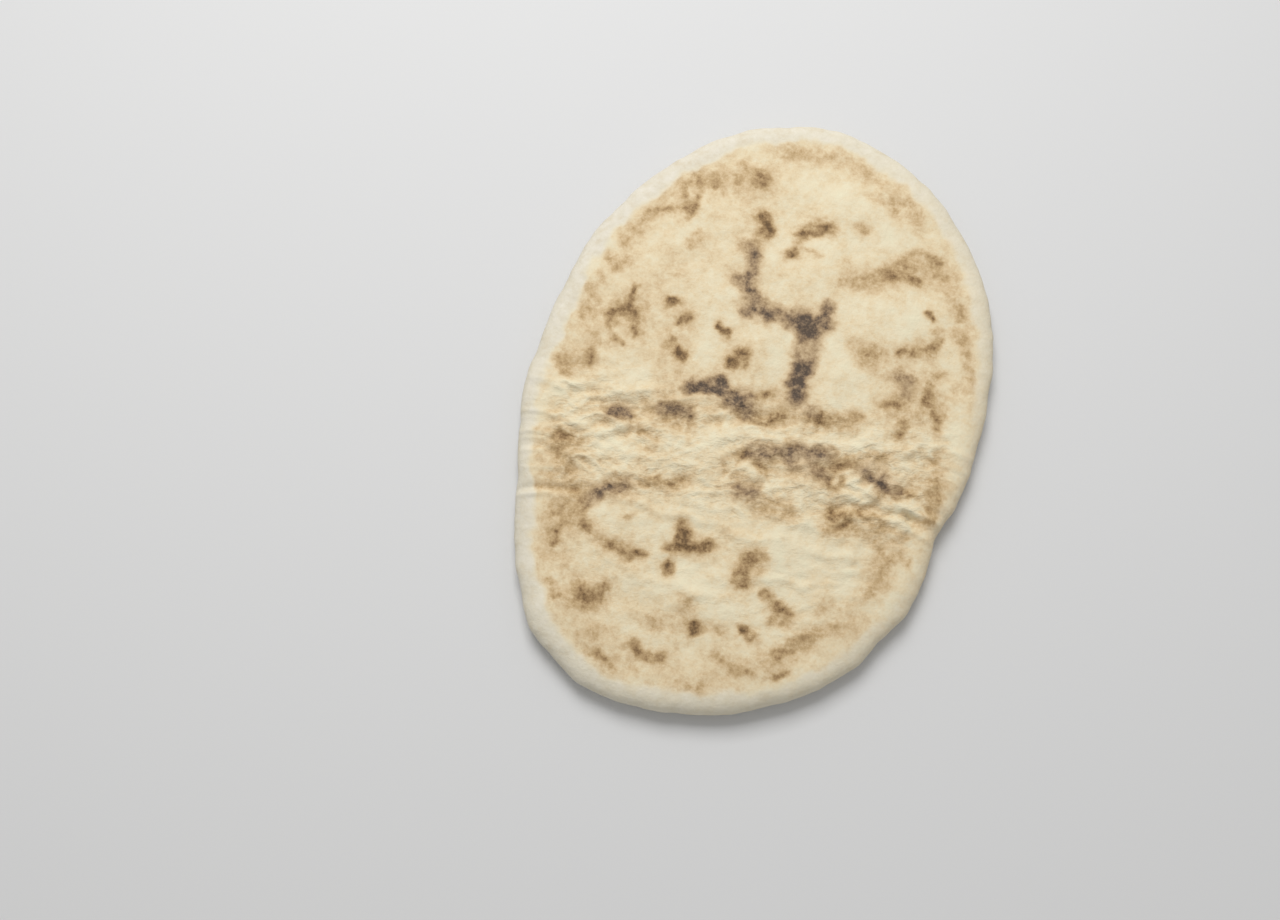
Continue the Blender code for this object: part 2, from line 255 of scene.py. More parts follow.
# Brown toast marks, in the same form
BROWN_MARKS = (
    # the upper half
    (0.86, 2.4, ((-16.4, 56.2), (-14.4, 53.8), (-13.6, 52.6))),
    (0.84, 2.4, ((-4.2, 54.2), (-1.5, 57), (3.2, 60))),
    (0.38, 2.6, ((-15, 51), (-16, 45))),
    (0.90, 1.7, ((-4.9, 47.4), (-3.6, 48.8))),
    (0.50, 0.8, ((-0.8, 50.6), (1.6, 51.2), (3, 50.2))),
    (0.46, 1.4, ((-27.2, 70.4), (-27.4, 64.6))),
    (0.44, 1.6, ((-23, 70), (-22, 66))),
    (0.84, 2.0, ((-21, 68.5), (-20, 68))),
    (0.40, 1.4, ((-33.2, 67), (-34.2, 60.6))),
    (0.24, 1.2, ((-31.2, 63), (-30.6, 59))),
    (0.60, 0.8, ((-39.5, 65.5), (-41.6, 60), (-41.8, 56.5), (-39.8, 51))),
    (0.60, 0.8, ((-38.6, 62), (-37, 57.5), (-37, 53.5))),
    (0.78, 1.4, ((-37.4, 51.2), (-37.6, 48.6))),
    (0.56, 1.1, ((-48, 46.6), (-45, 48.8), (-42.4, 50))),
    (0.28, 1.6, ((-49, 45), (-51, 43))),
    (0.25, 1.8, ((-47, 56), (-45, 58))),
    (0.40, 1.6, ((-33, 44), (-34, 40))),
    (0.55, 1.6, ((12, 63), (14, 62.5))),
    (0.32, 2.0, ((13, 44.5), (17, 45.5), (22, 47.5))),
    (0.44, 2.4, ((23, 51), (26, 53), (31, 57.4))),
    (0.46, 1.2, ((27, 59), (30, 61.6), (34, 61.6), (38.4, 60.4))),
    (0.75, 1.5, ((24, 52.5), (25.5, 51.5))),
    (0.75, 1.4, ((30, 53), (33, 52.5))),
    (0.35, 1.8, ((37, 61), (39.5, 57))),
    (0.55, 1.5, ((47, 49), (49, 46))),
    (0.80, 1.1, ((39.6, 43.6), (41.2, 43))),
    (0.58, 1.4, ((44, 39.6), (45, 37), (44, 33.6))),
    (0.65, 1.6, ((44, 32), (40, 31.5), (36, 29.5))),
    (0.45, 1.8, ((48, 41), (52, 39))),
    (0.30, 2.2, ((21, 27), (26, 26), (30, 27))),
    (0.40, 2.6, ((28, 22), (27, 24))),
    (0.80, 1.1, ((35.5, 12.5), (40, 14))),
    (0.46, 1.7, ((49, 28), (47, 23), (47, 19))),
    (0.52, 1.3, ((46.5, 18), (49, 15.5), (51.5, 14), (52, 11.5))),
    (0.45, 1.6, ((52, 15), (53, 9))),
    (0.35, 1.6, ((54, 36), (56, 31), (58, 27))),
    # dots on the left of the upper half
    (0.94, 1.5, ((-33.8, 20.6), (-32.2, 21.2))),
    (1.0, 1.8, ((-28.1, 16.8), (-26.9, 17.4))),
    (0.90, 1.4, ((-17.6, 18.6), (-16, 17.6), (-14.2, 17.4))),
    (1.0, 2.3, ((-8, 12.4), (-8, 10.4), (-9.6, 9))),
    (0.72, 1.1, ((-28.8, 9.6), (-28.2, 9.2))),
    (0.90, 1.7, ((-25.8, 7), (-24.6, 6.4))),
    (0.80, 1.2, ((-45, 20.5), (-44.5, 16))),
    (0.64, 1.8, ((-47.5, 12), (-45, 14), (-43, 14))),
    (0.80, 1.0, ((-41.5, 13), (-40, 10), (-39.8, 8))),
    (0.45, 1.6, ((-48, 12), (-47.5, 8))),
    (0.70, 0.9, ((-45, 4.5), (-42, 3.5))),
    (0.42, 1.4, ((-58, 17), (-56, 15.5))),
    (0.34, 2.0, ((-53, 35), (-51, 39))),
    (0.36, 1.8, ((-56, 28), (-53, 26), (-50, 28))),
    (0.42, 1.1, ((-56, 22), (-54.5, 20))),
    (0.55, 1.0, ((-57, 9), (-56, 8))),
    # the top end
    (0.30, 2.2, ((-18, 78), (-10, 81), (-4, 83))),
    (0.25, 2.2, ((3, 83), (8, 82), (11, 80))),
    (0.28, 2.2, ((14, 74), (17, 75), (21, 74))),
    (0.60, 1.0, ((20, 73), (20.5, 72.5))),
    (0.25, 2.0, ((27, 72), (29, 69))),
    # the middle
    (0.75, 1.6, ((1, 1.5), (4, 4))),
    (0.75, 1.3, ((1.5, -5), (5, -5))),
    (0.75, 1.2, ((6.5, -3), (9, -1))),
    (0.74, 1.8, ((14.5, -0.2), (19, 1.6))),
    (0.46, 2.0, ((17, -1.6), (23, 0.4), (29, 2.4))),
    (0.60, 1.8, ((19, 1.9), (25, 3.8), (30.4, 5.8))),
    (0.66, 1.5, ((-49.6, -2.4), (-49.4, -6))),
    (0.50, 1.8, ((-56.5, -7), (-55, -10.5))),
    (0.80, 2.0, ((2.5, -16), (6, -16.5), (9, -18))),
    (0.70, 1.7, ((29, -9.5), (33, -8))),
    (0.80, 1.9, ((24, -15), (27, -16), (31, -16.4))),
    (0.45, 1.4, ((29, -13), (32, -14))),
    (0.50, 1.3, ((43, -12.6), (47.5, -12.4))),
    (0.60, 0.9, ((50, -10), (52, -10.5))),
    (0.60, 1.4, ((31.5, -6.3), (38, -3.9), (44, -1.7))),
    (0.65, 0.9, ((40, 3.5), (42.5, 4))),
    (0.60, 1.6, ((42, 8), (43.5, 6))),
    (0.45, 0.9, ((47, -0.5), (47.5, -1))),
    (0.50, 1.3, ((55, 3), (55, 1.5))),
    (0.58, 2.4, ((57, -5), (58, -10), (59.5, -15))),
    # the lower half
    (0.35, 2.4, ((15, -28), (20, -27.5))),
    (0.96, 2.7, ((32.2, -24.0), (34.4, -24.5))),
    (0.54, 1.5, ((36, -22), (40.6, -21.2), (45.2, -20.8))),
    (0.32, 2.5, ((38, -23.8), (43, -23.2), (47, -22.2))),
    (0.46, 1.8, ((31.5, -28.4), (37, -27.2), (42.2, -26), (45.4, -23))),
    (0.50, 2.0, ((52.6, -23.6), (52.6, -29.7))),
    (0.40, 1.8, ((48, -28), (49, -31), (51, -35), (52, -38))),
    (0.45, 1.8, ((49, -40), (49, -42))),
    (0.75, 0.8, ((56.5, -30), (56.6, -30.3))),
    (0.74, 1.7, ((-22, -34.4), (-18, -32.4), (-11.4, -30.2))),
    (0.66, 1.7, ((-35.6, -45), (-35, -48.6), (-32.4, -51.2))),
    (0.38, 3.4, ((-41.6, -49), (-38.4, -50.6))),
    (0.46, 1.2, ((-32, -52), (-28, -53.2), (-23.6, -54.8))),
    (0.74, 1.2, ((-23.6, -54.4), (-19.5, -54.5))),
    (0.86, 1.4, ((-17.5, -54.2), (-14.6, -53.5))),
    (0.70, 1.4, ((-40, -55.8), (-39.2, -58.4))),
    (0.60, 0.9, ((-22.5, -45.5), (-21.5, -45))),
    (0.93, 2.2, ((-6.6, -41.4), (-5, -45.6))),
    (0.74, 1.8, ((-5.4, -46.8), (-8.2, -49.2))),
    (0.74, 1.8, ((-4, -47), (-0.6, -46.2))),
    (0.88, 1.7, ((1.4, -45.2), (2.6, -44.4))),
    (0.44, 2.6, ((-6, -48), (0, -46.8))),
    (0.95, 1.8, ((-6.5, -54), (-5.5, -55.5))),
    (0.80, 2.6, ((14.5, -44.5), (13.5, -48), (14.2, -51.5))),
    (0.34, 2.2, ((16, -42), (18.5, -45), (15, -53))),
    (0.45, 1.4, ((15, -43), (17.5, -42))),
    (0.78, 1.7, ((21.5, -52), (25, -53.5), (29, -55))),
    (0.60, 1.8, ((25, -55), (29, -57.5), (26, -58.5))),
    (0.66, 2.3, ((-27.4, -69), (-25.6, -70.4))),
    (0.44, 2.4, ((-25, -71.4), (-21.6, -70.2))),
    (0.60, 1.8, ((-22.6, -67.6), (-21.2, -65.2))),
    (0.85, 1.4, ((6, -67), (7, -69))),
    (0.45, 1.0, ((8, -67.5), (13, -66))),
    (0.30, 1.8, ((0, -61), (3, -63.5))),
    (0.35, 2.0, ((-5, -70), (-3, -72))),
    (0.35, 2.2, ((-19, -78), (-15, -77.5))),
    (0.75, 1.6, ((-8, -78), (-4, -80), (1, -79))),
    (0.55, 1.5, ((15, -73), (19, -75), (24, -74))),
    (0.85, 1.3, ((19, -64), (22, -65))),
    (0.50, 1.8, ((30, -67), (34, -63), (38, -58))),
    (0.65, 1.3, ((-17, -84), (-12, -85.5))),
    (0.45, 1.8, ((7, -85), (13, -84))),
    (0.70, 1.2, ((32, -73), (34, -71))),
    (0.40, 1.3, ((41, -56), (43, -53))),
    (0.55, 1.4, ((-36, -70), (-33, -73))),
    (0.35, 1.6, ((39, -48), (38.5, -50))),
    (0.32, 2.8, ((-49, -29), (-46, -31), (-48, -33))),
    (0.44, 2.8, ((-47.5, -29.6), (-43, -28.4))),
    (0.26, 3.0, ((-44, -38), (-42, -42))),
    (0.35, 1.8, ((-27, -20), (-24, -20), (-23, -23))),
    (0.35, 1.4, ((5, -38), (6, -40))),
    (0.40, 0.8, ((-13, -18), (-12.5, -18.2))),
)

# Broad, light tan patches: depth of colour, half width, points along them
TAN_PATCHES = (
    (0.24, 4.5, ((-51, 38), (-52, 30))),
    (0.14, 5.0, ((-53, 22), (-51, 16))),
    (0.10, 7.0, ((-36, 14), (-46, 6), (-30, 4))),
    (0.20, 5.0, ((-28, -11), (-15, -6), (-3, -3), (8, -2))),
    (0.07, 9.0, ((-30, 52), (-26, 34))),
    (0.07, 9.0, ((2, 46), (14, 48))),
    (0.25, 4.5, ((-55, 12), (-51, 4), (-50, -4), (-55, -9))),
    (0.16, 6.0, ((-44, 54), (-40, 52), (-36, 62), (-28, 67), (-16, 69))),
    (0.14, 5.0, ((-18, 80), (-4, 83), (8, 82), (20, 75), (30, 70))),
    (0.10, 7.0, ((-36, 62), (-22, 64), (-6, 62))),
    (0.08, 9.0, ((-44, 40), (-36, 26), (-20, 22))),
    (0.20, 6.0, ((16, 47), (26, 51), (32, 57), (39, 58))),
    (0.12, 4.5, ((44, 54), (49, 48), (54, 38), (57, 28))),
    (0.30, 6.0, ((40, 14), (44, 22), (50, 18), (44, 8))),
    (0.20, 5.0, ((26, 26), (33, 24), (40, 32))),
    (0.22, 5.0, ((-48, 12), (-40, 8), (-42, 16))),
    (0.20, 5.0, ((-30, 10), (-22, 4), (-26, -4))),
    (0.22, 6.0, ((46, -11), (58, -6), (60, -14))),
    (0.22, 6.0, ((0, -14), (14, -13), (28, -12))),
    (0.22, 5.0, ((0, -26), (12, -27), (22, -27))),
    (0.14, 5.5, ((36, -26), (42, -26), (50, -30), (51, -38))),
    (0.20, 6.5, ((-52, -26), (-47, -32), (-47, -42))),
    (0.08, 4.0, ((-53, -31), (-50, -38))),
    (0.10, 4.0, ((-43, -52), (-40, -58))),
    (0.22, 5.0, ((-42, -18), (-30, -18), (-16, -13))),
    (0.25, 6.0, ((-36, -36), (-26, -34), (-12, -32))),
    (0.18, 6.0, ((-38, -46), (-38, -58), (-30, -52), (-14, -55))),
    (0.22, 5.0, ((-30, -66), (-22, -70), (-26, -74))),
    (0.18, 5.0, ((-50, -54), (-48, -62), (-42, -72))),
    (0.04, 6.0, ((-6, -46), (12, -48), (28, -55))),
    (0.12, 5.0, ((2, -64), (10, -68), (-4, -70))),
    (0.18, 6.0, ((-30, -79), (-14, -84), (4, -83), (18, -79))),
    (0.20, 5.0, ((28, -70), (38, -60), (46, -50))),
)

# The untoasted edge: width in plan and paleness, by direction round the bread in degrees. The paleness
# is partly the edge's own colour and partly painted light: paler on the lit left and top, tanner on
# the shaded right
EDGE_DIRECTIONS = (-180, -165, -148, -134, -110, -60, -20, 10, 45, 75, 120, 150, 180)
EDGE_WIDTHS = (6.0, 5.2, 4.0, 5.6, 5.5, 5.0, 3.0, 3.2, 6.0, 6.6, 7.0, 5.8, 6.0)
EDGE_PALENESS_WITH_PAINTED_LIGHT = (0.9, 0.85, 0.8, 0.9, 0.8, 0.55, 0.15, 0.25, 0.55, 0.7, 1.0, 1.0, 0.9)

# Random fields, each a sum of layers: strength, size of the lumps, seed
WRINKLE_BEND_ACROSS = ((1.8, 9.0, 23), (0.7, 4.5, 26))
WRINKLE_BEND_ALONG = ((1.8, 9.0, 24), (0.9, 4.5, 27))
CREASE_BEND_ACROSS = ((1.1, 6.0, 11), (0.4, 2.4, 13))
CREASE_BEND_ALONG = ((1.1, 6.0, 12), (0.4, 2.4, 14))
CREASE_BREAKS = ((0.7, 5.5, 15),)
FACE_LUMPS = ((0.35, 17.0, 31), (0.24, 8.0, 32), (0.12, 3.6, 33), (0.04, 1.8, 34))
EDGE_LUMPS = ((0.45, 9.0, 61), (0.2, 4.0, 62))
MARK_BEND_ACROSS = ((0.7, 3.4, 41), (0.45, 1.6, 42))
MARK_BEND_ALONG = ((0.7, 3.4, 43), (0.45, 1.6, 44))
CHAR_BLOTCHES = ((0.28, 4.2, 45), (0.24, 1.9, 46))
BROWN_BLOTCHES = ((0.38, 4.2, 45), (0.34, 1.9, 46))
BLUSH_CLOUDS = ((0.12, 15.0, 51), (0.10, 5.5, 52), (0.07, 2.6, 55))
RIM_BLUSH_CLOUDS = ((1.4, 9.0, 56),)
EDGE_WAVER = ((1.6, 8.0, 53), (0.9, 3.2, 54))
SHADE_LINE_BREAKS = ((1.6, 7.0, 60),)
UNDERSIDE_CLOUDS = ((0.30, 11.0, 57), (0.22, 4.5, 58))
UNDERSIDE_PATCHES = ((1.0, 8.0, 59),)
FIELD_CELLS = 64  # lumps before a field repeats
FIELD_GAIN = 1.5  # brings a field to about -1 to 1
EXPONENT_LIMIT = 30  # beyond it a soft step is all or nothing

CREASE_WEAKEST, CREASE_STRONGEST = 0.4, 1.6  # how far the breaks weaken and strengthen a crease

# The crumpled bands: strength, half width, points along the middle. The first is the fold.
CRUMPLED_BANDS = ((1.0, 19.0, ((-70, -30), (70, -5))), (0.26, 20.0, ((-60, -62), (60, -40))))
CRUMPLE_FADE_START, CRUMPLE_FADE_LENGTH = 0.80, 0.12  # as shares of the way out to the edge
CRUMPLE_LEFT_AT_EDGE = 0.15

# Wrinkles in the bands: size, stretch along the wrinkle, seed, height, and the painted highlight that
# makes their crests pale
WRINKLES = ((7.0, 2.1, 21, 0.62, 1.3), (3.8, 1.8, 22, 0.34, 1.1), (2.3, 1.5, 25, 0.16, 0.0))
WRINKLE_TURN = math.radians(18.0)
WRINKLE_SHARPNESS = 2.6
# how high up a crest the painted highlight starts
CREST_HIGHLIGHT_START = 0.3

# A mark's colour: a core, a surround that fades out, and a darker middle where the mark is deep
MARK_CORE, MARK_SURROUND, MARK_MIDDLE = 0.46, 0.24, 0.28
CORE_SOFTNESS, CORE_SOFTNESS_BY_WIDTH = 0.17, 0.08
MIDDLE_WIDTH, MIDDLE_SOFTNESS = 0.55, 0.26
SURROUND_START, SURROUND_REACH, SURROUND_REACH_BY_WIDTH = 0.5, 1.0, 0.62
BROWN_EVENNESS = 0.97
CREST_HIGHLIGHT_ON_MARKS, CREST_HIGHLIGHT_LOST_TO_CHAR = 0.45, 0.27  # painted highlight: how much colour a mark loses on the crests, and how much less char loses
CREASE_PAINTED_SHADE = 1.2  # painted shade: how much darker a crease is made than a wrinkle's hollow

# The blush between the marks: its depth, and what the rim and the folds change, with painted shade in
# the hollows and creases and a painted highlight on the crests
BLUSH = 0.16
RIM_BLUSH, RIM_BLUSH_PLACE, RIM_BLUSH_REACH, RIM_BLUSH_EVENNESS = 0.07, 11.0, 6.0, 0.5
FOLD_BLUSH, HOLLOW_PAINTED_SHADE, CREST_PAINTED_HIGHLIGHT = 0.045, 0.17, 0.14

# The border of the untoasted edge, with a painted shade line along it where the edge meets the face
EDGE_SOFTNESS = 0.4
EDGE_TOAST_AND_PAINTED_SHADE = 0.30  # depth of colour of the edge where it isn't pale, partly its own toast and partly painted shade on the side away from the light
SHADE_LINE_DEPTH, SHADE_LINE_PLACE, SHADE_LINE_REACH, SHADE_LINE_EVENNESS = 0.17, 0.7, 0.9, 0.35

SKIN_FOLDS_EVERYWHERE = 0.15  # share of the fine folds in the skin that is left outside the bands

UNDERSIDE_TOAST, UNDERSIDE_PALEST, UNDERSIDE_DARKEST = 0.24, 0.05, 0.8
UNDERSIDE_PATCH_DEPTH, UNDERSIDE_PATCH_START = 0.45, 0.25

FACE_CELLS_ACROSS, FACE_CELLS_ALONG = 200, 282
RINGS_ABOVE, RINGS_BELOW = 14, 8
RING_GAP = 0.1  # spacing of the rings while the blank is still a straight-sided block
LUMP_SHIFT = 6.0  # shifts the edge's lumps from ring to ring, so that they aren't upright bars


def bell(distance, reach):
    """1 at no distance, falling softly to 0 over about twice the reach."""
    return np.exp(-((distance / reach) ** 2))


def soft_step(distance, softness):
    """0 below no distance and 1 above it, with a soft passage between."""
    exponent = np.clip(-distance / softness, -EXPONENT_LIMIT, EXPONENT_LIMIT)
    return 1.0 / (1.0 + np.exp(exponent))


def shares(values):
    """The values, kept between 0 and 1."""
    return np.clip(values, 0.0, 1.0)


def oval_place(across, along):
    """Angle and share of the radius in a disc, for places in a square from -1 to 1."""
    u = across * np.sqrt(1.0 - along**2 / 2.0)
    v = along * np.sqrt(1.0 - across**2 / 2.0)
    return np.arctan2(v, u), np.minimum(np.hypot(u, v), 1.0)


def outline(turn, inset):
    """Points in plan at these angles round the bread, so far in from its outline."""
    swell = 1.0
    for waves, share, phase in OUTLINE_LOBES:
        swell = swell + share * np.cos(waves * turn - math.radians(phase))
    half_width, half_length = OVAL_WIDTH / 2, OVAL_LENGTH / 2
    x = half_width * swell * np.cos(turn)
    y = half_length * swell * np.sin(turn)
    normal_x, normal_y = np.cos(turn) / half_width, np.sin(turn) / half_length
    size = np.hypot(normal_x, normal_y)
    dent = 0.0
    for place, depth, half_angle in OUTLINE_DENTS:
        gap = (np.degrees(turn) - place + 180.0) % 360.0 - 180.0
        dent = dent + depth * bell(gap, half_angle)
    reach = inset + dent * np.exp(-inset / DENT_REACH)
    return x - normal_x / size * reach, y - normal_y / size * reach


def wander(x, y, size, seed):
    """Smooth random field, about -1 to 1, with lumps of this size."""
    slopes = np.random.default_rng(seed).random((FIELD_CELLS, FIELD_CELLS)) * 2 * np.pi
    u, v = x / size + FIELD_CELLS / 2, y / size + FIELD_CELLS / 2
    i, j = np.floor(u).astype(int), np.floor(v).astype(int)
    fu, fv = u - i, v - j
    ease_u = fu**3 * (fu * (fu * 6 - 15) + 10)
    ease_v = fv**3 * (fv * (fv * 6 - 15) + 10)

    def corner(di, dj):
        slope = slopes[(i + di) % FIELD_CELLS, (j + dj) % FIELD_CELLS]
        return np.cos(slope) * (fu - di) + np.sin(slope) * (fv - dj)

    low = corner(0, 0) * (1 - ease_u) + corner(1, 0) * ease_u
    high = corner(0, 1) * (1 - ease_u) + corner(1, 1) * ease_u
    return (low * (1 - ease_v) + high * ease_v) * FIELD_GAIN


def field(x, y, layers):
    """Sum of random fields, from the strength, size and seed of each."""
    return sum(strength * wander(x, y, size, seed) for strength, size, seed in layers)


def line_distance(x, y, points):
    """Distance in plan to a line through the points."""
    nearest = np.full(np.shape(x), np.inf)
    for (ax, ay), (bx, by) in zip(points, points[1:]):
        dx, dy = bx - ax, by - ay
        along = shares(((x - ax) * dx + (y - ay) * dy) / (dx * dx + dy * dy))
        nearest = np.minimum(nearest, np.hypot(x - ax - along * dx, y - ay - along * dy))
    return nearest


def turned(x, y, angle):
    """Place along and across a line that is turned by this angle."""
    along = x * math.cos(angle) + y * math.sin(angle)
    return along, y * math.cos(angle) - x * math.sin(angle)


def way_out(x, y):
    """Share of the way from the middle of the oval to its edge."""
    return np.hypot(2 * x / OVAL_WIDTH, 2 * y / OVAL_LENGTH)


def crumpled(x, y):
    """How much the face is crumpled by the fold, 0 to 1, less so near the edge roll."""
    band = 0.0
    for strength, half_width, points in CRUMPLED_BANDS:
        far = line_distance(x, y, points) / half_width
        band = np.maximum(band, strength * np.exp(-(far**4)))
    inner = 1.0 - shares((way_out(x, y) - CRUMPLE_FADE_START) / CRUMPLE_FADE_LENGTH)
    return band * (CRUMPLE_LEFT_AT_EDGE + (1.0 - CRUMPLE_LEFT_AT_EDGE) * inner)


def wrinkle_crests(x, y, size, stretch, seed):
    """Branching crests that run across the bread: 1 on a crest, about -1 in the hollows."""
    bent_x = x + field(x, y, WRINKLE_BEND_ACROSS)
    bent_y = y + field(x, y, WRINKLE_BEND_ALONG)
    along, across = turned(bent_x, bent_y, WRINKLE_TURN)
    return 1.0 - WRINKLE_SHARPNESS * np.abs(wander(along / stretch, across, size, seed))


def wrinkles(x, y):
    """Height of the wrinkles, and where the painted highlights on their crests are."""
    height, lines = 0.0, 0.0
    for size, stretch, seed, rise, paleness_with_painted_light in WRINKLES:
        crests = wrinkle_crests(x, y, size, stretch, seed)
        height = height + rise * crests
        lines = np.maximum(lines, shares(crests - CREST_HIGHLIGHT_START) * paleness_with_painted_light)
    return height, shares(lines)


def crease_height(x, y):
    """Height of the creases, less than nothing, and of the ridges beside them."""
    bent_x = x + field(x, y, CREASE_BEND_ACROSS)
    bent_y = y + field(x, y, CREASE_BEND_ALONG)
    strength = np.clip(1.0 + field(x, y, CREASE_BREAKS), CREASE_WEAKEST, CREASE_STRONGEST)
    height = np.zeros(np.shape(x))
    for points, depth, half_width in CREASES:
        height -= depth * strength * bell(line_distance(bent_x, bent_y, points), half_width)
    return height


def relief(x, y):
    """Height of blisters, creases, wrinkles and small lumps on the face."""
    height = np.zeros(np.shape(x))
    smooth = np.zeros(np.shape(x))
    for centre_x, centre_y, half_long, half_short, degrees, rise in BLISTERS:
        along, across = turned(x - centre_x, y - centre_y, math.radians(degrees))
        blister = np.exp(-((along / half_long) ** 2 + (across / half_short) ** 2))
        height += rise * blister
        smooth = np.maximum(smooth, blister)
    height += crease_height(x, y)
    height += crumpled(x, y) * (1.0 - WRINKLES_LOST_ON_BLISTERS * smooth) * wrinkles(x, y)[0]
    return height + field(x, y, FACE_LUMPS)


def face_height(x, y):
    """Height of the toasted face over a place in plan."""
    crown = CROWN * (1.0 - np.minimum(way_out(x, y), 1.0) ** 2)
    return FACE_HEIGHT + crown + relief(x, y)


def add_blank():
    """The plain blank: a gridded face, a straight side in rings and a gridded underside."""
    bpy.ops.object.select_all(action="DESELECT")
    bpy.ops.mesh.primitive_grid_add(
        x_subdivisions=FACE_CELLS_ACROSS, y_subdivisions=FACE_CELLS_ALONG, size=2.0
    )
    bread = bpy.context.object
    bread.name = bread.data.name = "pita"
    bpy.ops.object.mode_set(mode="EDIT")
    bpy.ops.mesh.select_mode(type="EDGE")
    bpy.ops.mesh.select_all(action="DESELECT")
    bpy.ops.mesh.select_non_manifold()
    for _ in range(RINGS_ABOVE + RINGS_BELOW):
        bpy.ops.mesh.extrude_edges_move(TRANSFORM_OT_translate={"value": (0, 0, -RING_GAP)})
    bpy.ops.mesh.select_all(action="DESELECT")
    bpy.ops.mesh.primitive_grid_add(
        x_subdivisions=FACE_CELLS_ACROSS // 2,
        y_subdivisions=FACE_CELLS_ALONG // 2,
        size=2.0,
        location=(0, 0, -RING_GAP * (RINGS_ABOVE + RINGS_BELOW + 1)),
    )
    bpy.ops.mesh.flip_normals()
    bpy.ops.mesh.select_all(action="DESELECT")
    bpy.ops.mesh.select_non_manifold()
    bpy.ops.mesh.bridge_edge_loops()
    bpy.ops.object.mode_set(mode="OBJECT")
    return bread


def edge_roll(turn, ring, is_above, top):
    """Places of the edge roll's rings, and how far in from the outline each ring lies."""
    above_step, below_step = 1.0 - ring / RINGS_ABOVE, (ring - RINGS_ABOVE) / RINGS_BELOW
    angle = shares(np.where(is_above, above_step, below_step)) * np.pi / 2
    power = np.where(is_above, 2.0 / TOP_SQUARENESS, 2.0 / BOTTOM_SQUARENESS)
    inward = 1.0 - np.maximum(np.cos(angle), 0.0) ** power
    rise = np.sin(angle) ** power
    round_in = np.where(is_above, EDGE_ROUND_TOP, EDGE_ROUND_BOTTOM) * inward

    rim_x, rim_y = outline(turn, np.zeros(len(turn)))
    shift = LUMP_SHIFT * (1.0 - inward)
    lumps = field(rim_x + shift, rim_y - shift, EDGE_LUMPS)
    x, y = outline(turn, round_in + lumps * (1.0 - inward))
    widest = top * WIDEST_SHARE
    z = np.where(is_above, widest + (top - widest) * rise, widest * (1.0 - rise))
    return x, y, z, round_in


def shape_blank(mesh):
    """Moves every vertex of the blank to its place on the bread.

    Returns where in plan each vertex lies, how far it is from the outline over the face, and
    whether it is on the underside.
    """
    count = len(mesh.vertices)
    places = np.empty(count * 3, np.float32)
    mesh.vertices.foreach_get("co", places)
    across, along, level = places.reshape(-1, 3).astype(float).T
    turn, share = oval_place(across, along)
    ring = np.rint(-level / RING_GAP).astype(int)
    last_ring = RINGS_ABOVE + RINGS_BELOW
    is_above = (ring > 0) & (ring <= RINGS_ABOVE)
    is_side, is_under = (ring > 0) & (ring <= last_ring), ring > last_ring

    border_x, border_y = outline(turn, np.full(count, EDGE_ROUND_TOP))
    face_x, face_y = border_x * share, border_y * share
    side_x, side_y, side_z, round_in = edge_roll(turn, ring, is_above, face_height(border_x, border_y))
    foot_x, foot_y = outline(turn, np.full(count, UNDERSIDE_INSET))
    x = np.select([is_side, is_under], [side_x, foot_x * share], face_x)
    y = np.select([is_side, is_under], [side_y, foot_y * share], face_y)
    z = np.select([is_side, is_under], [side_z, 0.0], face_height(face_x, face_y))

    middle_x, middle_y = (x.min() + x.max()) / 2, (y.min() + y.max()) / 2
    placed = np.stack([x - middle_x, y - middle_y, z], axis=1) * MM
    mesh.vertices.foreach_set("co", placed.astype(np.float32).ravel())
    mesh.update()
    over_face = EDGE_ROUND_TOP + (1.0 - share) * np.hypot(border_x, border_y)
    from_edge = np.where(is_side, np.where(is_above, round_in, 0.0), over_face)
    return x, y, from_edge, is_under


def mark_depth(x, y, marks, blotches):
    """Depth of colour left by a list of marks, 0 to 1."""
    untouched = np.ones(np.shape(x))
    for depth, half_width, points in marks:
        distance = line_distance(x, y, points)
        core_softness = CORE_SOFTNESS + CORE_SOFTNESS_BY_WIDTH * half_width
        core = soft_step(half_width - distance, core_softness)
        middle = soft_step(MIDDLE_WIDTH * half_width - distance, MIDDLE_SOFTNESS)
        past = np.maximum(distance - SURROUND_START * half_width, 0.0)
        surround = bell(past, SURROUND_REACH + SURROUND_REACH_BY_WIDTH * half_width)
        dark = depth * (MARK_CORE * core + MARK_SURROUND * surround) + depth**2 * MARK_MIDDLE * middle
        untouched *= 1.0 - shares(dark * blotches)
    return 1.0 - untouched


def toast_marks(x, y, highlighted_crests):
    """Depth of colour left by the hot plate, 0 to about 1, less on the wrinkle crests where a
    highlight is painted, and how much of it is char.
    """
    bent_x = x + field(x, y, MARK_BEND_ACROSS)
    bent_y = y + field(x, y, MARK_BEND_ALONG)
    blotches = 1.0 + field(x, y, CHAR_BLOTCHES)
    char = mark_depth(bent_x, bent_y, CHAR_MARKS, blotches)
    brown = mark_depth(bent_x, bent_y, BROWN_MARKS, BROWN_EVENNESS + field(x, y, BROWN_BLOTCHES))
    untouched = (1.0 - char) * (1.0 - brown)
    for depth, half_width, points in TAN_PATCHES:
        patch = depth * blotches * bell(line_distance(bent_x, bent_y, points), half_width)
        untouched *= 1.0 - shares(patch)
    # painted highlight: a mark is paler on the wrinkle crests, char a little less so
    crest_highlight = (CREST_HIGHLIGHT_ON_MARKS - CREST_HIGHLIGHT_LOST_TO_CHAR * char) * highlighted_crests
    return (1.0 - untouched) * (1.0 - crest_highlight), char


